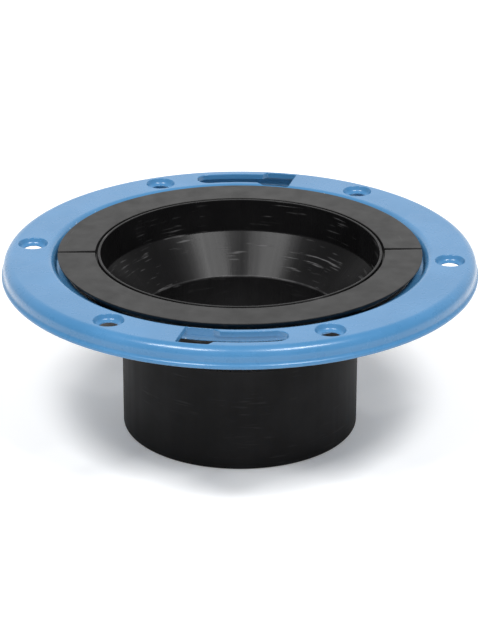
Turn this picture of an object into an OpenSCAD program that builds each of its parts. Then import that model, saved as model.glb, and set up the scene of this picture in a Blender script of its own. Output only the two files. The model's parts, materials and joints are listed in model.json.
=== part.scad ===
// Closet (toilet) flange: a reducing plastic hub that carries a free-turning coated steel ring.
// Millimetres, Z up. The origin is on the hub axis, at the lower end of the spigot.
// The two bolt slots lie across the Y axis, and one screw hole lies on +X.

/* [Heights] */
// Ring top face above the lower end of the spigot
ring_top_z = 68.5; // [62:0.5:110]
// Hub lip and collar tops above the ring top face
plate_proud = 0.6; // [0.4:0.1:2]

/* [Swivel ring] */
// Outside diameter, 7 in nominal
ring_d = 177.8; // [176:0.1:184]
// Sheet thickness
sheet_t = 2.0; // [1.6:0.1:2.2]
// Depth of the turned-down outer rim below the top face
rim_depth = 7.5; // [7:0.1:14]
// Outside bend radius of the outer rim
rim_bend_r = 3.7; // [3:0.1:4.2]
// Outward flare of the rim's lip
rim_flare = 0.8; // [0.4:0.1:1]
// Height of the lip's upright outer edge
rim_lip_h = 1.2; // [0.8:0.1:1.4]
// Diameter where the flat top starts to bend down into the step
step_d = 144.0; // [142:0.2:145]
// Drop from the top face to the upper face of the inner ledge
step_drop = 4.0; // [3.6:0.1:5]
// Outside bend radius at the top of the step
step_bend_r = 3.0; // [2.4:0.1:3.4]
// Bore of the inner ledge
ring_bore_d = 129.8; // [129.4:0.1:131]

/* [Screw holes] */
// Number of evenly spaced floor screw holes
screw_count = 6; // [4:2:6]
// Screw hole circle
screw_circle_d = 156.4; // [155:0.1:157.4]
// Through hole diameter
screw_hole_d = 7.0; // [5:0.1:8]
// Diameter of the pressed sink at the top face
screw_sink_d = 11.2; // [10.2:0.1:12]
// Diameter of the sink's seat, at the foot of its steep wall
screw_seat_d = 9.2; // [8.2:0.1:9.8]
// Depth of the seat's outer edge
screw_seat_depth = 1.8; // [1.4:0.1:1.9]
// Straight land left under the seat
screw_land = 0.4; // [0.2:0.1:0.6]
// Depth that the pressed sink stands below the sheet
dimple_depth = 0.6; // [0.4:0.1:1.2]
// Diameter of the dimple where it leaves the sheet
dimple_d = 11.6; // [10:0.1:11.8]
// Wall left around the hole at the dimple's lower end
dimple_wall = 1.1; // [0.8:0.1:1.4]

/* [Bolt slots] */
// Centre circle of the closet bolt slots
slot_circle_d = 155.2; // [154:0.1:157]
// Width of the narrow part, where the bolt shank slides
slot_w = 8.8; // [7:0.1:10]
// Width of the wide part, where the bolt head drops in
key_w = 13.4; // [11.5:0.1:14]
// Angle from the slot datum to the square end of the wide part
key_angle = 9.3; // [8:0.1:11]
// Angle from the slot datum to the centre of the round end
slot_angle = 15.5; // [10:0.1:18]
// Angle from the slot datum to the start of the bevel, on the wide side
bevel_start = 1.4; // [1:0.1:3]
// Angle from the slot datum to the end of the bevel, on the narrow side
bevel_end = 0.8; // [0.2:0.1:2]

/* [Hub] */
// Outside diameter of the spigot, 3 in pipe size
spigot_d = 88.9; // [86:0.1:90]
// Bore of the spigot
bore_d = 77.9; // [74:0.1:80]
// Opening at the top
mouth_d = 104.0; // [100:0.2:104]
// Depth of the straight part of the mouth, from the hub lip
mouth_depth = 12.8; // [12:0.1:18]
// Height of the inside cone
cone_h = 14.0; // [10:0.1:20]
// Outside diameter of the body below the shoulder
body_d = 115.0; // [114:0.5:118]
// Height of the outside cone between the spigot and the body
cone_out_h = 8.5; // [7:0.5:13]
// Height from the lower end of the spigot to the outside cone
spigot_h = 39.5; // [30:0.5:42]
// Diameter of the shoulder under the collars
shoulder_d = 124.0; // [120:0.5:125]
// Thickness of the shoulder
shoulder_t = 3.0; // [2:0.1:4]
// Width of the thin lip around the opening
lip_w = 1.0; // [0.8:0.1:1.4]

/* [Retaining lugs] */
// Number of lugs under the ring ledge
lug_count = 4; // [3:1:6]
// Diameter over the lugs
lug_d = 134.0; // [131:0.5:137]
// Angle that one lug spans
lug_span = 12; // [6:1:24]
// Gap between the lug and the ring ledge
lug_gap = 0.3; // [0.2:0.05:0.5]

/* [Collar halves] */
// Outside diameter of the two half collars
collar_d = 135.8; // [134:0.1:136.4]
// Diameter of the bearing face inside the ring bore
bearing_d = 128.8; // [127:0.1:129]
// Inside diameter at the top, which leaves a groove around the hub lip
collar_bore_d = 107.8; // [107:0.1:109]
// Depth of the groove around the hub lip
groove_depth = 2.1; // [1.2:0.1:3]
// Height of the upright outer edge
collar_edge = 0.4; // [0.2:0.1:1]
// Gap between the half collars at their outer edge
seam_outer = 0.9; // [0.3:0.1:2]
// Gap between the half collars at their inner edge
seam_inner = 1.7; // [0.3:0.1:3]
// Turn of the seam from the X axis
seam_turn = 7.6; // [-30:0.1:30]

/* [Hidden] */
$fn = 128;
over = 1;
top_z = ring_top_z + plate_proud;
ring_r = ring_d / 2;
ledge_bottom_z = ring_top_z - step_drop - sheet_t;
seat_z = ledge_bottom_z - lug_gap;
dimple_z = -sheet_t - dimple_depth;
neck_r = collar_bore_d / 2 + 2.1;
bond_gap = 0.05;
black = [0.11, 0.11, 0.115];
blue = [0.47, 0.64, 0.79];

// Sheet metal section: flared outer rim, flat top, step down and inner ledge.
module ring_section() {
    rim_r = ring_r - rim_flare;
    lip_z = rim_lip_h - rim_depth;
    wall_r = step_d / 2 - step_bend_r;
    low_bend_r = step_drop - step_bend_r;
    // Outer rim: flared lip, upright wall and bend
    polygon([
        [ring_r - sheet_t, -rim_depth],
        [ring_r, -rim_depth],
        [ring_r, lip_z],
        [rim_r, lip_z + rim_flare],
        [rim_r, -rim_bend_r],
        [rim_r - sheet_t, -rim_bend_r],
        [rim_r - sheet_t, lip_z + rim_flare],
        [ring_r - sheet_t, lip_z]
    ]);
    translate([rim_r - rim_bend_r, -rim_bend_r])
        bend(rim_bend_r, [0, 0]);
    // Flat top
    translate([step_d / 2, -sheet_t])
        square([rim_r - rim_bend_r - step_d / 2, sheet_t]);
    // Step down: a bend each way
    translate([step_d / 2, -step_bend_r])
        bend(step_bend_r, [-step_bend_r, 0]);
    translate([wall_r - low_bend_r, -step_drop + low_bend_r])
        bend(low_bend_r + sheet_t, [0, -low_bend_r - sheet_t]);
    // Inner ledge
    translate([ring_bore_d / 2, -step_drop - sheet_t])
        square([wall_r - low_bend_r - ring_bore_d / 2, sheet_t]);
}

// Quarter of a sheet bend around the origin, in the quadrant whose low corner is given.
module bend(outer_r, corner) {
    intersection() {
        difference() {
            circle(r = outer_r);
            circle(r = outer_r - sheet_t);
        }
        translate(corner)
            square([outer_r, outer_r]);
    }
}

// Metal that the sink pushes below the sheet, with the sheet's top at z = 0.
module screw_dimple() {
    translate([0, 0, -sheet_t])
        cylinder(d = dimple_d, h = sheet_t / 2);
    translate([0, 0, dimple_z])
        cylinder(d1 = screw_hole_d + 2 * dimple_wall, d2 = dimple_d, h = dimple_depth);
}

// Screw hole with its sink and seat, as the body to take away, with its top at z = 0.
module screw_cut() {
    hole_r = screw_hole_d / 2;
    sink_r = screw_sink_d / 2;
    rotate_extrude()
        polygon([
            [0, dimple_z - over],
            [hole_r, dimple_z - over],
            [hole_r, dimple_z + screw_land],
            [screw_seat_d / 2, -screw_seat_depth],
            [sink_r, 0],
            [sink_r, over],
            [0, over]
        ]);
}

// Places a part at every screw hole.
module at_screws() {
    for (i = [0 : screw_count - 1])
        rotate([0, 0, i * 360 / screw_count])
            translate([screw_circle_d / 2, 0, 0])
                children();
}

// Part of a flat band around Z between two angles, through the sheet.
module band_cut(width, from, to) {
    rotate_extrude(start = from, angle = to - from)
        translate([slot_circle_d / 2 - width / 2, -sheet_t - over - plate_proud])
            square([width, sheet_t + 2 * over + plate_proud]);
}

// Point on the plan at a radius and an angle.
function at(radius, angle) = [radius * cos(angle), radius * sin(angle)];

// Keyhole bolt slot on the -Y side, as the body to take away.
module slot_cut() {
    mid_r = slot_circle_d / 2;
    datum = 270;
    overlap = 0.2;
    inset = 0.2;
    band_cut(key_w, datum - key_angle, datum - bevel_start);
    band_cut(slot_w, datum - bevel_start - overlap, datum + slot_angle);
    rotate([0, 0, datum + slot_angle])
        translate([mid_r, 0, -sheet_t - over])
            cylinder(d = slot_w, h = sheet_t + 2 * over);
    translate([0, 0, -sheet_t - over])
        linear_extrude(height = sheet_t + 2 * over)
            polygon([
                at(mid_r - slot_w / 2, datum - bevel_start - 2 * overlap),
                at(mid_r - key_w / 2 + inset, datum - bevel_start - overlap),
                at(mid_r - slot_w / 2 + inset, datum + bevel_end + overlap),
                at(mid_r + slot_w / 2 - inset, datum + bevel_end - 1 + overlap),
                at(mid_r + key_w / 2 - inset, datum - bevel_start - overlap),
                at(mid_r + slot_w / 2, datum - bevel_start - 2 * overlap)
            ]);
}

module swivel_ring() {
    color(blue)
        translate([0, 0, ring_top_z])
            difference() {
                union() {
                    rotate_extrude()
                        ring_section();
                    at_screws()
                        screw_dimple();
                }
                at_screws()
                    screw_cut();
                for (turn = [0, 180])
                    rotate([0, 0, turn])
                        slot_cut();
            }
}

// Lug with a sloped underside that stops the ring from dropping off the hub.
module lug() {
    root_r = body_d / 2 - 1;
    tip_t = 1.4;
    rotate_extrude(start = -lug_span / 2, angle = lug_span)
        polygon([
            [root_r, seat_z - shoulder_t - 3],
            [lug_d / 2, seat_z - tip_t],
            [lug_d / 2, seat_z],
            [root_r, seat_z]
        ]);
}

module hub() {
    mouth_z = top_z - mouth_depth;
    color(black) {
        rotate_extrude()
            polygon([
                [bore_d / 2, 0],
                [spigot_d / 2, 0],
                [spigot_d / 2, spigot_h],
                [body_d / 2, spigot_h + cone_out_h],
                [body_d / 2, seat_z - shoulder_t],
                [shoulder_d / 2, seat_z - shoulder_t],
                [shoulder_d / 2, seat_z],
                [neck_r, seat_z],
                [neck_r, top_z - groove_depth],
                [mouth_d / 2 + lip_w, top_z - groove_depth],
                [mouth_d / 2 + lip_w, top_z],
                [mouth_d / 2, top_z],
                [mouth_d / 2, mouth_z],
                [bore_d / 2, mouth_z - cone_h]
            ]);
        for (i = [0 : lug_count - 1])
            rotate([0, 0, (i + 0.5) * 360 / lug_count])
                lug();
    }
}

// Full collar, before the seams part it.
module collar_body() {
    edge_z = top_z - collar_edge;
    rotate_extrude()
        polygon([
            [collar_bore_d / 2, top_z],
            [collar_d / 2, top_z],
            [collar_d / 2, edge_z],
            [bearing_d / 2, edge_z - (collar_d - bearing_d) / 2],
            [bearing_d / 2, seat_z],
            [neck_r + bond_gap, seat_z],
            [neck_r + bond_gap, top_z - groove_depth],
            [collar_bore_d / 2, top_z - groove_depth]
        ]);
}

// Plan outline of the rear half, with the seam gap wider towards the hub.
module half_plan() {
    inner_r = collar_bore_d / 2 - over;
    outer_r = collar_d / 2 + over;
    polygon([
        [-outer_r, seam_outer / 2],
        [-inner_r, seam_inner / 2],
        [inner_r, seam_inner / 2],
        [outer_r, seam_outer / 2],
        [outer_r, outer_r],
        [-outer_r, outer_r]
    ]);
}

module half_collar(turn) {
    color(black)
        intersection() {
            collar_body();
            rotate([0, 0, seam_turn + turn])
                translate([0, 0, seat_z - over])
                    linear_extrude(height = top_z - seat_z + 2 * over)
                        half_plan();
        }
}

module collar_rear() {
    half_collar(0);
}

module collar_front() {
    half_collar(180);
}

hub();
swivel_ring();
collar_front();
collar_rear();
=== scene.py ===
"""Closet flange on a pale floor, in the CAD frame: metres, hub axis on Z, spigot standing at z = 0."""

import json
import math
import bmesh
import bpy
from mathutils import Matrix, Vector


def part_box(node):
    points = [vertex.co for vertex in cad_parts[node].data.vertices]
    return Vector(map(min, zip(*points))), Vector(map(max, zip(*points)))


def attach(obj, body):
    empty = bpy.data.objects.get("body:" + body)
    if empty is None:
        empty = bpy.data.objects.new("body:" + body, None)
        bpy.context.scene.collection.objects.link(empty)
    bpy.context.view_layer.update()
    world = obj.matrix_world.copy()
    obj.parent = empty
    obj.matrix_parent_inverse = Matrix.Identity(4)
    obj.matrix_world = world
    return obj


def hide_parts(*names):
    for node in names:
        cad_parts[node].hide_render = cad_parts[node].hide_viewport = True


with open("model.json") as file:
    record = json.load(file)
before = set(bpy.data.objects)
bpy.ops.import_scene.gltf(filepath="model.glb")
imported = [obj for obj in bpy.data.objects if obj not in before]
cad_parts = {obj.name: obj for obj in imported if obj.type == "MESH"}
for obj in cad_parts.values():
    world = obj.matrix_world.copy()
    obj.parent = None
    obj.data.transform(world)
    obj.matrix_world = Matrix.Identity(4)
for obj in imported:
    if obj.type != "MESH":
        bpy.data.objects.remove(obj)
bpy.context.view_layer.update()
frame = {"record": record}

MM = 0.001

# Heights and radii that the frame gives
HUB_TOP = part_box("hub")[1].z
RING_LOW, RING_HIGH = (corner.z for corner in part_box("swivel_ring"))
RING_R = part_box("swivel_ring")[1].x
COLLAR_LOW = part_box("collar_rear")[0].z
MOUNTS = {mount["name"]: mount for mount in frame["record"]["mounts"]}


def mount_mm(name, size):
    """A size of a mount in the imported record, in metres."""
    return MOUNTS[name]["dims"][size] * MM


# Ring: section, screw holes and slots
SHEET = 2.0 * MM
RIM_BEND_R = 3.7 * MM
RIM_FLARE = 0.8 * MM
RIM_LIP_H = 1.2 * MM
WALL_R = 69.0 * MM
STEP_DROP = 4.0 * MM
STEP_BEND_R = 3.0 * MM
LEDGE_R = 64.9 * MM
SINK_R = 5.6 * MM
SEAT_R = 4.6 * MM
SEAT_DEPTH = 1.8 * MM
SINK_LAND = 0.4 * MM
DIMPLE_DEPTH = 0.6 * MM
DIMPLE_R = 5.8 * MM
DIMPLE_WALL = 1.1 * MM
HOLE_R = mount_mm("floor_screws", "hole_r_mm")
SCREW_CIRCLE_R = mount_mm("floor_screws", "pcd_mm") / 2
SCREW_COUNT = MOUNTS["floor_screws"]["dims"]["count"]
SLOT_CIRCLE_R = 77.6 * MM
SLOT_HALF = 4.4 * MM
KEY_HALF = 6.7 * MM
KEY_END, KEY_BEVEL, BEVEL_END, SLOT_END = -9.3, -1.4, 0.8, 15.5

# Hub
SPIGOT_R = mount_mm("spigot", "r_mm")
SPIGOT_H = mount_mm("spigot", "length_mm")
BORE_R = mount_mm("spigot_bore", "r_mm")
BORE_H = mount_mm("spigot_bore", "length_mm")
MOUTH_R = mount_mm("mouth", "r_mm")
MOUTH_DEPTH = mount_mm("mouth", "length_mm")
BODY_R = 57.5 * MM
CONE_OUT_H = 8.5 * MM
SHOULDER_R = 62.0 * MM
SHOULDER_T = 3.0 * MM
NECK_R = 56.0 * MM
LIP_W = 1.0 * MM
GROOVE_DEPTH = 2.1 * MM
LUG_R = 67.0 * MM
LUG_SPAN = 12.0
LUG_TIP_T = 1.4 * MM

# Collar halves
COLLAR_R = 67.9 * MM
COLLAR_BORE_R = 53.9 * MM
COLLAR_EDGE = 0.4 * MM
BEARING_R = 64.4 * MM
BOND_GAP = 0.05 * MM
SEAM_TURN = 7.6
SEAM_HALF_OUTER = 0.45 * MM
SEAM_HALF_INNER = 0.85 * MM

TURNS = 288


# ---------------------------------------------------------------- mesh tools


def rounded(corners, steps=5):
    """Closed outline with its corners rounded. A corner is (x, y, radius)."""
    points = []
    for index, (x, y, radius) in enumerate(corners):
        here = Vector((x, y))
        before = Vector(corners[index - 1][:2]) - here
        after = Vector(corners[(index + 1) % len(corners)][:2]) - here
        half = before.angle(after) / 2
        if radius == 0 or half > math.radians(89):
            points.append(here)
            continue
        centre = here + (before.normalized() + after.normalized()).normalized() * radius / math.sin(half)
        start = here + before.normalized() * radius / math.tan(half) - centre
        turn = start.angle_signed(here + after.normalized() * radius / math.tan(half) - centre)
        for step in range(steps + 1):
            spoke = start.copy()
            spoke.rotate(Matrix.Rotation(-turn * step / steps, 2))
            points.append(centre + spoke)
    return points


def inset(points, depth):
    """Outline moved inwards along its vertex normals. The outline runs counter-clockwise."""
    moved = []
    for index, here in enumerate(points):
        before = (here - points[index - 1]).normalized()
        after = (points[(index + 1) % len(points)] - here).normalized()
        along = (before + after).normalized()
        moved.append(here + Vector((-along.y, along.x)) * depth)
    return moved


def counter_clockwise(points):
    """The same outline, running counter-clockwise."""
    area = sum(a.x * b.y - b.x * a.y for a, b in zip(points, points[1:] + points[:1]))
    return points if area > 0 else points[::-1]


def skin(name, loops, closed, capped=False):
    """Mesh object through a row of equal loops of points."""
    mesh = bmesh.new()
    rows = [[mesh.verts.new(point) for point in loop] for loop in loops]
    count = len(rows[0])
    pairs = list(zip(rows, rows[1:])) + ([(rows[-1], rows[0])] if closed else [])
    for row, following in pairs:
        for index in range(count):
            other = (index + 1) % count
            mesh.faces.new((row[index], row[other], following[other], following[index]))
    if capped:
        mesh.faces.new(rows[0])
        mesh.faces.new(rows[-1])
    bmesh.ops.remove_doubles(mesh, verts=mesh.verts, dist=0.001 * MM)
    bmesh.ops.recalc_face_normals(mesh, faces=mesh.faces)
    data = bpy.data.meshes.new(name)
    mesh.to_mesh(data)
    mesh.free()
    piece = bpy.data.objects.new(name, data)
    bpy.context.scene.collection.objects.link(piece)
    return piece


def on_circle(radius, angle, z):
    """Point at a radius, an angle in degrees and a height."""
    return (radius * math.cos(math.radians(angle)), radius * math.sin(math.radians(angle)), z)


def lathe(name, outline, turns=TURNS):
    """Full turn of an outline of (radius, height)."""
    loops = [[on_circle(p.x, 360 * turn / turns, p.y) for p in outline] for turn in range(turns)]
    return skin(name, loops, closed=True)


def sector(name, outline, start, sweep, half_gap, edge, steps):
    """Part turn of an outline whose two ends are flat, set back by half_gap(radius), with soft edges."""
    outline = counter_clockwise(outline)
    ease = [math.radians(a) for a in (90, 60, 30, 0)]

    def loop(depth, back, share):
        points = []
        for p in inset(outline, depth):
            end = math.degrees(math.asin((half_gap(p.x) + back) / p.x))
            points.append(on_circle(p.x, start + end + share * (sweep - 2 * end), p.y))
        return points

    caps = [(edge * (1 - math.cos(a)), edge * (1 - math.sin(a))) for a in ease]
    first = [loop(depth, back, 0) for depth, back in caps]
    middle = [loop(0, edge, step / steps) for step in range(1, steps)]
    last = [loop(depth, back, 1) for depth, back in reversed(caps)]
    return skin(name, first + middle + last, closed=False, capped=True)


def finished(piece, body, node, material):
    """Smooth shading that keeps flat faces flat, then the piece's body, CAD node and finish."""
    for face in piece.data.polygons:
        face.use_smooth = True
    bpy.context.view_layer.objects.active = piece
    piece.data.set_sharp_from_angle(angle=math.radians(32))
    weighted = piece.modifiers.new("flat_faces_stay_flat", "WEIGHTED_NORMAL")
    weighted.keep_sharp = True
    weighted.weight = 90
    piece.data.materials.clear()
    piece.data.materials.append(material)
    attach(piece, body)
    if node:
        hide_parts(node)
    return piece


# ---------------------------------------------------------------- materials


class Nodes:
    """Short names for building one node material."""

    def __init__(self, name):
        self.material = bpy.data.materials.new(name)
        self.material.use_nodes = True
        self.tree = self.material.node_tree
        self.shader = self.tree.nodes["Principled BSDF"]
        self.place = self.add("ShaderNodeTexCoord").outputs["Object"]

    def add(self, kind, **settings):
        node = self.tree.nodes.new(kind)
        for key, value in settings.items():
            setattr(node, key, value)
        return node

    def link(self, source, target):
        self.tree.links.new(source, target)

    def scaled(self, stretch, place=None):
        """Object coordinates, or another place, stretched per axis."""
        mapping = self.add("ShaderNodeMapping")
        mapping.inputs["Scale"].default_value = stretch
        self.link(place or self.place, mapping.inputs["Vector"])
        return mapping.outputs["Vector"]

    def unrolled(self, radius):
        """Place as (arc length at the radius, distance from the axis, height), and the last two alone."""
        parts = self.add("ShaderNodeSeparateXYZ")
        self.link(self.place, parts.inputs["Vector"])
        x, y, height = (parts.outputs[axis] for axis in "XYZ")
        arc = self.maths("MULTIPLY", self.maths("ARCTAN2", y, x), radius)
        distance = self.length(x, y)
        whole = self.add("ShaderNodeCombineXYZ")
        for axis, value in zip("XYZ", (arc, distance, height)):
            self.link(value, whole.inputs[axis])
        return whole.outputs["Vector"], distance, height

    def noise(self, size, detail=3.0, roughness=0.5, where=None, distortion=0.0):
        """Noise with features of about the given size, in metres."""
        node = self.add("ShaderNodeTexNoise")
        node.inputs["Scale"].default_value = 1 / size
        node.inputs["Detail"].default_value = detail
        node.inputs["Roughness"].default_value = roughness
        node.inputs["Distortion"].default_value = distortion
        self.link(where or self.place, node.inputs["Vector"])
        return node.outputs["Fac"]

    def remap(self, value, low, high, to_low, to_high):
        """Clamped linear map of a value."""
        node = self.add("ShaderNodeMapRange")
        for key, number in zip(("From Min", "From Max", "To Min", "To Max"), (low, high, to_low, to_high)):
            node.inputs[key].default_value = number
        self.link(value, node.inputs["Value"])
        return node.outputs["Result"]

    def maths(self, operation, a, b):
        node = self.add("ShaderNodeMath", operation=operation)
        for socket, value in zip(node.inputs, (a, b)):
            if isinstance(value, (int, float)):
                socket.default_value = value
            else:
                self.link(value, socket)
        return node.outputs["Value"]

    def length(self, a, b):
        """Square root of the sum of two squares."""
        squares = self.maths("ADD", self.maths("MULTIPLY", a, a), self.maths("MULTIPLY", b, b))
        return self.maths("SQRT", squares, 0.0)

    def mixed(self, share, first, second):
        """Mix of two colours, each a tuple or an output."""
        node = self.add("ShaderNodeMix", data_type="RGBA")
        self.link(share, node.inputs["Factor"])
        for key, value in (("A", first), ("B", second)):
            socket = [s for s in node.inputs if s.name == key and s.type == "RGBA"][0]
            if isinstance(value, tuple):
                socket.default_value = (*value, 1.0)
            else:
                self.link(value, socket)
        return [s for s in node.outputs if s.type == "RGBA"][0]

    def bump(self, height, depth, onto=None):
        """Bump of the given depth in metres."""
        node = self.add("ShaderNodeBump")
        node.inputs["Strength"].default_value = 1.0
        node.inputs["Distance"].default_value = depth
        self.link(height, node.inputs["Height"])
        if onto:
            self.link(onto, node.inputs["Normal"])
        return node.outputs["Normal"]

    def wire(self, **sockets):
        """Links outputs to the shader's sockets, with _ for a space in the name."""
        for key, output in sockets.items():
            self.link(output, self.shader.inputs[key.replace("_", " ")])

    def fixed(self, **sockets):
        """Sets constants on the shader's sockets, with _ for a space in the name."""
        for key, value in sockets.items():
            self.shader.inputs[key.replace("_", " ")].default_value = value


def step_edge(nodes):
    """1 on the ring's upper step edge, where the loose ring knocks against the collar, and 0 elsewhere."""
    distance = nodes.unrolled(WALL_R)[1]
    return nodes.remap(distance, WALL_R + 2.0 * MM, WALL_R + 1.2 * MM, 0.0, 1.0)


def ring_coating():
    """Semi-gloss blue coating on pressed steel: orange peel, flow waves, dust nibs, chipped step edge."""
    nodes = Nodes("ring_coating")
    deep, full, steel = (0.050, 0.178, 0.352), (0.062, 0.202, 0.392), (0.72, 0.74, 0.76)
    patches = nodes.remap(nodes.noise(28 * MM, detail=4), 0.35, 0.65, 0.0, 1.0)
    colour = nodes.mixed(patches, deep, full)
    chips = nodes.remap(nodes.noise(2.4 * MM, detail=4, roughness=0.65), 0.685, 0.70, 0.0, 1.0)
    chips = nodes.maths("MULTIPLY", chips, step_edge(nodes))
    colour = nodes.mixed(chips, colour, steel)
    haze = nodes.noise(9 * MM, detail=5, roughness=0.6)
    peel = nodes.noise(1.6 * MM, detail=1.5)
    flow = nodes.noise(11 * MM, detail=1.0)
    nibs = nodes.remap(nodes.noise(0.9 * MM, detail=0.0), 0.78, 0.84, 0.0, 1.0)
    normal = nodes.bump(flow, 0.030 * MM)
    normal = nodes.bump(peel, 0.007 * MM, normal)
    normal = nodes.bump(nibs, 0.010 * MM, normal)
    nodes.wire(Base_Color=colour, Roughness=nodes.remap(haze, 0.3, 0.7, 0.22, 0.34), Normal=normal)
    nodes.fixed(IOR=1.36, Coat_Weight=0.24, Coat_Roughness=0.11, Coat_IOR=1.5)
    return nodes.material


def scuffs(nodes, around, low, high):
    """Thin broken lines around the axis, gathered in patches."""
    fine = nodes.noise(0.9 * MM, detail=2, where=nodes.scaled((0.09, 1.0, 1.0), around))
    lines = nodes.remap(fine, low, high, 0.0, 1.0)
    patches = nodes.remap(nodes.noise(15 * MM, detail=2), 0.50, 0.60, 0.0, 1.0)
    return nodes.maths("MULTIPLY", lines, patches)


def spigot_outside(nodes, distance, height):
    """1 on the spigot's outside, and 0 elsewhere."""
    outer = nodes.remap(distance, SPIGOT_R - 0.6 * MM, SPIGOT_R - 0.3 * MM, 0.0, 1.0)
    lower = nodes.remap(height, SPIGOT_H, SPIGOT_H + 1.0 * MM, 1.0, 0.0)
    return nodes.maths("MULTIPLY", outer, lower)


def cone_edge_painted_highlight(nodes, distance, height):
    """Thin painted highlight: a lighter line painted along the edge where the inside cone meets the bore,
    in broken stretches.
    """
    out = nodes.maths("SUBTRACT", distance, BORE_R)
    up = nodes.maths("SUBTRACT", height, BORE_H)
    line = nodes.remap(nodes.length(out, up), 0.25 * MM, 0.55 * MM, 1.0, 0.0)
    # Noise breaks the painted highlight line into stretches
    highlight_breaks = nodes.remap(nodes.noise(10 * MM, detail=3), 0.40, 0.60, 0.2, 0.8)
    return nodes.maths("MULTIPLY", line, highlight_breaks)


def hub_plastic():
    """Satin black moulded plastic with draw streaks down its walls, scuffs around them and a painted
    highlight line at the cone's lower edge.
    """
    nodes = Nodes("hub_plastic")
    around, distance, height = nodes.unrolled(BORE_R)
    outside = spigot_outside(nodes, distance, height)
    painted_edge_highlight = cone_edge_painted_highlight(nodes, distance, height)
    above_bore = nodes.remap(height, BORE_H - 2 * MM, BORE_H, 0.12, 1.0)
    rubs = nodes.maths("MULTIPLY", scuffs(nodes, around, 0.60, 0.70), above_bore)
    draw = nodes.noise(3.2 * MM, detail=3, where=nodes.scaled((1.0, 0.03, 0.03), around))
    dust = nodes.remap(nodes.noise(24 * MM, detail=6, roughness=0.6), 0.42, 0.72, 0.0, 1.0)
    colour = nodes.mixed(dust, (0.0060, 0.0059, 0.0062), (0.0115, 0.0112, 0.0118))
    # Real scuffs and the painted highlight line along the cone's lower edge both lighten the colour to the
    # same grey
    colour = nodes.mixed(nodes.maths("MAXIMUM", rubs, painted_edge_highlight), colour, (0.085, 0.084, 0.086))
    rough = nodes.remap(draw, 0.3, 0.7, 0.24, 0.32)
    rough = nodes.maths("ADD", rough, nodes.maths("MULTIPLY", rubs, 0.25))
    rough = nodes.maths("ADD", rough, nodes.maths("MULTIPLY", outside, 0.30))
    normal = nodes.bump(draw, 0.018 * MM)
    normal = nodes.bump(nodes.noise(0.35 * MM, detail=2), 0.003 * MM, normal)
    nodes.wire(Base_Color=colour, Roughness=rough, Normal=normal)
    nodes.fixed(IOR=1.20)
    return nodes.material


def collar_plastic():
    """Satin black plastic with an even fine moulded grain and a few rubs around it."""
    nodes = Nodes("collar_plastic")
    cloud = nodes.remap(nodes.noise(17 * MM, detail=5, roughness=0.6), 0.35, 0.70, 0.0, 1.0)
    colour = nodes.mixed(cloud, (0.0105, 0.0104, 0.0104), (0.0155, 0.0152, 0.0150))
    rubs = scuffs(nodes, nodes.unrolled(COLLAR_R)[0], 0.68, 0.76)
    colour = nodes.mixed(rubs, colour, (0.050, 0.049, 0.048))
    rough = nodes.remap(nodes.noise(6 * MM, detail=4), 0.3, 0.7, 0.34, 0.46)
    normal = nodes.bump(nodes.noise(0.5 * MM, detail=2), 0.006 * MM)
    nodes.wire(Base_Color=colour, Roughness=rough, Normal=normal)
    nodes.fixed(IOR=1.33)
    return nodes.material


def floor_paper():
    """Plain white studio sweep with a faint paper grain."""
    nodes = Nodes("floor_paper")
    tone = nodes.remap(nodes.noise(60 * MM, detail=3), 0.3, 0.7, 0.0, 1.0)
    nodes.wire(
        Base_Color=nodes.mixed(tone, (0.88, 0.88, 0.88), (0.90, 0.90, 0.90)),
        Normal=nodes.bump(nodes.noise(0.8 * MM, detail=3), 0.01 * MM),
    )
    nodes.fixed(Roughness=0.9, Emission_Color=(1.0, 1.0, 1.0, 1.0), Emission_Strength=0.20)
    return nodes.material


# ---------------------------------------------------------------- pieces


def ring_section():
    """Pressed sheet from the flared rim, over the flat top, down the step to the inner ledge."""
    top, ledge = RING_HIGH, RING_HIGH - STEP_DROP
    rim_r, lip_z = RING_R - RIM_FLARE, RING_LOW + RIM_LIP_H
    raw, easy = 0.25 * MM, 0.8 * MM
    return rounded([
        (LEDGE_R, ledge, raw),
        (WALL_R, ledge, SHEET / 2),
        (WALL_R, top, STEP_BEND_R),
        (rim_r, top, RIM_BEND_R),
        (rim_r, lip_z + RIM_FLARE, 2 * easy),
        (RING_R, lip_z, easy),
        (RING_R, RING_LOW, 2 * raw),
        (RING_R - SHEET, RING_LOW, 2 * raw),
        (RING_R - SHEET, lip_z, easy),
        (rim_r - SHEET, lip_z + RIM_FLARE, easy),
        (rim_r - SHEET, top - SHEET, RIM_BEND_R - SHEET),
        (WALL_R + SHEET, top - SHEET, STEP_BEND_R - SHEET),
        (WALL_R + SHEET, ledge - SHEET, STEP_BEND_R),
        (LEDGE_R, ledge - SHEET, raw),
    ], steps=9)


def dimple(angle):
    """Metal that a pressed countersink pushes below the sheet."""
    low = -SHEET - DIMPLE_DEPTH
    outline = rounded([
        (0.0, low, 0),
        (HOLE_R + DIMPLE_WALL, low, 0.4 * MM),
        (DIMPLE_R, -SHEET, 0.6 * MM),
        (DIMPLE_R + 0.1 * MM, -SHEET / 2, 0),
        (0.0, -SHEET / 2, 0),
    ])
    boss = lathe("dimple", outline, turns=72)
    boss.location = on_circle(SCREW_CIRCLE_R, angle, RING_HIGH)
    return boss


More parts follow.
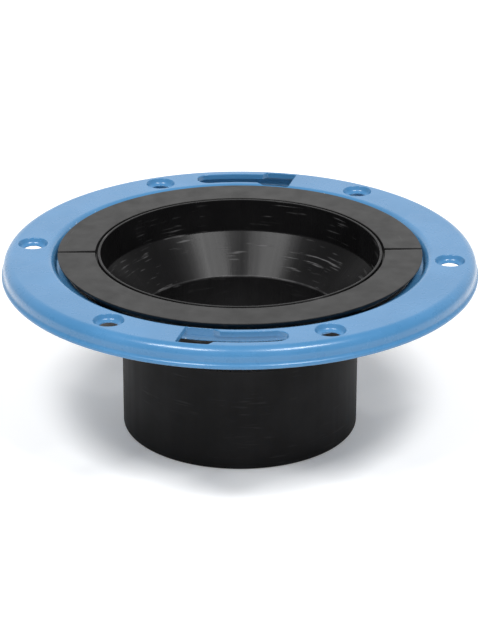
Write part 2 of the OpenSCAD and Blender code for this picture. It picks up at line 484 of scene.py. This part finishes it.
def screw_cutter(angle):
    """Body to take away for one screw hole: soft upper edge, steep wall, dished seat, short land."""
    low, beyond, lift = -SHEET - DIMPLE_DEPTH, 1.0 * MM, 0.2 * MM
    outline = rounded([
        (0.0, beyond, 0),
        (SINK_R + beyond, beyond, 0),
        (SINK_R + beyond, lift, 0),
        (SINK_R, 0.0, 0.5 * MM),
        (SEAT_R, -SEAT_DEPTH, 1.8 * MM),
        (HOLE_R, low + SINK_LAND, 0.25 * MM),
        (HOLE_R, low - beyond, 0),
        (0.0, low - beyond, 0),
    ], steps=8)
    cutter = lathe("screw_cutter", outline, turns=72)
    cutter.location = on_circle(SCREW_CIRCLE_R, angle, RING_HIGH)
    return cutter


def slot_outline():
    """Plan of the slot on the -Y side: square wide end, bevels, narrow arc with a round end."""
    datum = 270

    def at(radius, angle, soft=0.0):
        return (*on_circle(radius, datum + angle, 0)[:2], soft)

    def arc(radius, start, end, steps):
        return [at(radius, start + (end - start) * step / steps) for step in range(1, steps)]

    inner, outer = SLOT_CIRCLE_R - SLOT_HALF, SLOT_CIRCLE_R + SLOT_HALF
    key_inner, key_outer = SLOT_CIRCLE_R - KEY_HALF, SLOT_CIRCLE_R + KEY_HALF
    end = Vector(at(SLOT_CIRCLE_R, SLOT_END)[:2])
    round_end = []
    for step in range(17):
        turn = math.radians(datum + SLOT_END + 180 - 180 * step / 16)
        round_end.append((*(end + Vector((math.cos(turn), math.sin(turn))) * SLOT_HALF), 0.0))
    bevel_outer = BEVEL_END - 1
    return rounded([
        at(key_inner, KEY_END, 0.7 * MM),
        *arc(key_inner, KEY_END + 1, KEY_BEVEL - 0.5, 6),
        at(key_inner, KEY_BEVEL, 0.5 * MM),
        at(inner, BEVEL_END, 0.9 * MM),
        *arc(inner, BEVEL_END + 1, SLOT_END, 12),
        *round_end,
        *arc(outer, SLOT_END, bevel_outer + 1, 12),
        at(outer, bevel_outer, 0.9 * MM),
        at(key_outer, KEY_BEVEL, 0.5 * MM),
        *arc(key_outer, KEY_BEVEL - 0.5, KEY_END + 1, 6),
        at(key_outer, KEY_END, 0.7 * MM),
    ], steps=4)


def surface_drop(radius):
    """How far the step's upper bend lies below the flat top."""
    run = max(0.0, WALL_R + STEP_BEND_R - radius)
    return STEP_BEND_R - math.sqrt(max(0.0, STEP_BEND_R**2 - run**2))


def slot_cutter(turn):
    """Body to take away for one keyhole slot, flared at the top for a soft upper edge."""
    outline = counter_clockwise(slot_outline())
    soft = 0.35 * MM
    bends = [math.radians(angle) for angle in range(15, 91, 15)]
    flare = [(soft * (1 - math.sin(bend)), -soft * (1 - math.cos(bend))) for bend in bends]
    walls = [(1.3 * soft, 1.0 * MM), (1.3 * soft, 0.12 * MM), *flare, (0.0, -SHEET - 1.0 * MM)]
    loops = []
    for out, height in walls:
        loop = []
        for plan, wall in zip(inset(outline, -out), outline):
            drop = surface_drop(wall.length) if height > -SHEET else 0.0
            loop.append((plan.x, plan.y, RING_HIGH + height - drop))
        loops.append(loop)
    cutter = skin("slot_cutter", loops, closed=False, capped=True)
    cutter.rotation_euler.z = math.radians(turn)
    return cutter


def swivel_ring(material):
    """Ring with its holes and slots cut and all edges softened."""
    ring = lathe("ring_pressed_steel", ring_section())
    angles = [360 * index / SCREW_COUNT for index in range(SCREW_COUNT)]
    tools = [("UNION", dimple(angle)) for angle in angles]
    tools += [("DIFFERENCE", screw_cutter(angle)) for angle in angles]
    tools += [("DIFFERENCE", slot_cutter(turn)) for turn in (0, 180)]
    bpy.context.view_layer.update()
    for operation, tool in tools:
        step = ring.modifiers.new(tool.name, "BOOLEAN")
        step.operation, step.solver, step.object = operation, "EXACT", tool
    graph = bpy.context.evaluated_depsgraph_get()
    ring.data = bpy.data.meshes.new_from_object(ring.evaluated_get(graph))
    ring.modifiers.clear()
    for _, tool in tools:
        bpy.data.objects.remove(tool)
    return finished(ring, "ring_body", "swivel_ring", material)


def hub(material):
    """Turned hub body: spigot, cones, shoulder, neck and thin lip."""
    mouth_z = HUB_TOP - MOUTH_DEPTH
    groove_z = HUB_TOP - GROOVE_DEPTH
    soft, fine = 0.5 * MM, 0.25 * MM
    outline = rounded([
        (BORE_R, 0.0, soft),
        (SPIGOT_R, 0.0, 2 * soft),
        (SPIGOT_R, SPIGOT_H, 2 * soft),
        (BODY_R, SPIGOT_H + CONE_OUT_H, 2 * soft),
        (BODY_R, COLLAR_LOW - SHOULDER_T, soft),
        (SHOULDER_R, COLLAR_LOW - SHOULDER_T, soft),
        (SHOULDER_R, COLLAR_LOW, soft),
        (NECK_R, COLLAR_LOW, 0),
        (NECK_R, groove_z, fine),
        (MOUTH_R + LIP_W, groove_z, fine),
        (MOUTH_R + LIP_W, HUB_TOP, fine),
        (MOUTH_R, HUB_TOP, fine),
        (MOUTH_R, mouth_z, 2 * soft),
        (BORE_R, BORE_H, soft),
    ])
    return finished(lathe("hub_moulding", outline), "hub_body", "hub", material)


def lugs(material):
    """Lugs with sloped undersides that stop the ring from dropping."""
    root = BODY_R - 1 * MM
    fine = 0.3 * MM
    outline = rounded([
        (root, COLLAR_LOW - SHOULDER_T - 3 * MM, 0),
        (LUG_R, COLLAR_LOW - LUG_TIP_T, fine),
        (LUG_R, COLLAR_LOW, fine),
        (root, COLLAR_LOW, 0),
    ])
    for quarter in range(4):
        start = 45 + 90 * quarter - LUG_SPAN / 2
        lug = sector(f"hub_lug_{quarter + 1}", outline, start, LUG_SPAN, lambda r: 0.0, fine, steps=8)
        finished(lug, "hub_body", None, material)


def seam_half_gap(radius):
    """Half the gap between the collar halves, wider towards the hub."""
    share = (radius - COLLAR_BORE_R) / (COLLAR_R - COLLAR_BORE_R)
    return SEAM_HALF_INNER + (SEAM_HALF_OUTER - SEAM_HALF_INNER) * share


def collar_half(name, turn, material):
    """Half collar: flat top, short upright edge, chamfered underside and bearing face."""
    fine = 0.25 * MM
    edge_z = HUB_TOP - COLLAR_EDGE
    outline = rounded([
        (COLLAR_BORE_R, HUB_TOP, fine),
        (COLLAR_BORE_R, HUB_TOP - GROOVE_DEPTH, 0),
        (NECK_R + BOND_GAP, HUB_TOP - GROOVE_DEPTH, 0),
        (NECK_R + BOND_GAP, COLLAR_LOW, 0),
        (BEARING_R, COLLAR_LOW, fine),
        (BEARING_R, edge_z - (COLLAR_R - BEARING_R), fine),
        (COLLAR_R, edge_z, 0.15 * MM),
        (COLLAR_R, HUB_TOP, fine),
    ])
    half = sector(f"{name}_moulding", outline, SEAM_TURN + turn, 180, seam_half_gap, 0.2 * MM, TURNS // 2)
    return finished(half, "hub_body", name, material)


# ---------------------------------------------------------------- studio


# Strength of the surroundings behind the object, on the camera's side and overhead
BACK_LIGHT, FRONT_LIGHT, CEILING_LIGHT = 1.15, 0.26, 0.22

# Softboxes: distance aside, towards the camera and up, width, height, power
SOFTBOX_ASIDE, SOFTBOX_NEARER, SOFTBOX_HIGH = 0.92, 0.98, 2.65
SOFTBOX_W, SOFTBOX_H, SOFTBOX_POWER = 1.10, 0.70, 60
SOFTBOX_AIM = Vector((0, 0, 0.05))

CAMERA_AZIMUTH = 6.2
CAMERA_ELEVATION = 22.32
CAMERA_DISTANCE = 1.0
CAMERA_LENS = 150.8
AIM_HEIGHT = 40.7 * MM


def floor():
    """Plain pale floor, large enough to fill every view."""
    bpy.ops.mesh.primitive_plane_add(size=12, location=(0, 0, -0.05 * MM))
    plane = bpy.context.object
    plane.name = "floor"
    plane.data.materials.append(floor_paper())


def turned(x, y, z):
    """Point given as seen from the camera: x to its right, y away from it."""
    angle = math.radians(CAMERA_AZIMUTH)
    return (x * math.cos(angle) - y * math.sin(angle), x * math.sin(angle) + y * math.cos(angle), z)


def softbox(name, side):
    """Rectangular area light above the camera and to one side of it, facing the object."""
    light = bpy.data.lights.new(name, "AREA")
    light.shape = "RECTANGLE"
    light.size, light.size_y, light.energy = SOFTBOX_W, SOFTBOX_H, SOFTBOX_POWER
    lamp = bpy.data.objects.new(name, light)
    place = Vector(turned(SOFTBOX_ASIDE * side, -SOFTBOX_NEARER, SOFTBOX_HIGH))
    lamp.location = place
    lamp.rotation_euler = (SOFTBOX_AIM - place).to_track_quat("-Z", "Y").to_euler()
    bpy.context.scene.collection.objects.link(lamp)


def surroundings():
    """Light from all around: strongest from the wall behind the object, weakest from the camera's side."""
    world = bpy.data.worlds.new("studio")
    world.use_nodes = True
    tree = world.node_tree
    background = tree.nodes["Background"]
    background.inputs["Color"].default_value = (1.0, 1.0, 1.0, 1.0)
    direction = tree.nodes.new("ShaderNodeTexCoord").outputs["Generated"]

    def along(axis, low, high, to_low, to_high):
        part = tree.nodes.new("ShaderNodeVectorMath")
        part.operation = "DOT_PRODUCT"
        part.inputs[1].default_value = axis
        fade = tree.nodes.new("ShaderNodeMapRange")
        for key, number in zip(("From Min", "From Max", "To Min", "To Max"), (low, high, to_low, to_high)):
            fade.inputs[key].default_value = number
        tree.links.new(direction, part.inputs[0])
        tree.links.new(part.outputs["Value"], fade.inputs["Value"])
        return fade

    walls = along(turned(0, 1, 0), 0.1, 0.8, FRONT_LIGHT, BACK_LIGHT)
    whole = along((0, 0, 1), 0.5, 0.85, 0.0, CEILING_LIGHT)
    tree.links.new(walls.outputs["Result"], whole.inputs["To Min"])
    tree.links.new(whole.outputs["Result"], background.inputs["Strength"])
    bpy.context.scene.world = world


def studio():
    """Soft surroundings and two softboxes above the camera, one to each side."""
    surroundings()
    softbox("softbox_left", -1)
    softbox("softbox_right", 1)


def camera():
    """Long lens, a little above the ring, looking at the middle of the object."""
    data = bpy.data.cameras.new("camera")
    data.lens = CAMERA_LENS
    data.dof.use_dof = False
    viewer = bpy.data.objects.new("camera", data)
    rise = math.radians(CAMERA_ELEVATION)
    reach, height = CAMERA_DISTANCE * math.cos(rise), CAMERA_DISTANCE * math.sin(rise)
    viewer.location = turned(0, -reach, RING_HIGH + height)
    look = Vector((0, 0, AIM_HEIGHT)) - Vector(viewer.location)
    viewer.rotation_euler = look.to_track_quat("-Z", "Y").to_euler()
    bpy.context.scene.collection.objects.link(viewer)
    bpy.context.scene.camera = viewer


bpy.context.scene.view_settings.view_transform = "Standard"
camera()
studio()
floor()
hub_black = hub_plastic()
hub(hub_black)
lugs(hub_black)
collar_black = collar_plastic()
collar_half("collar_rear", 0, collar_black)
collar_half("collar_front", 180, collar_black)
swivel_ring(ring_coating())
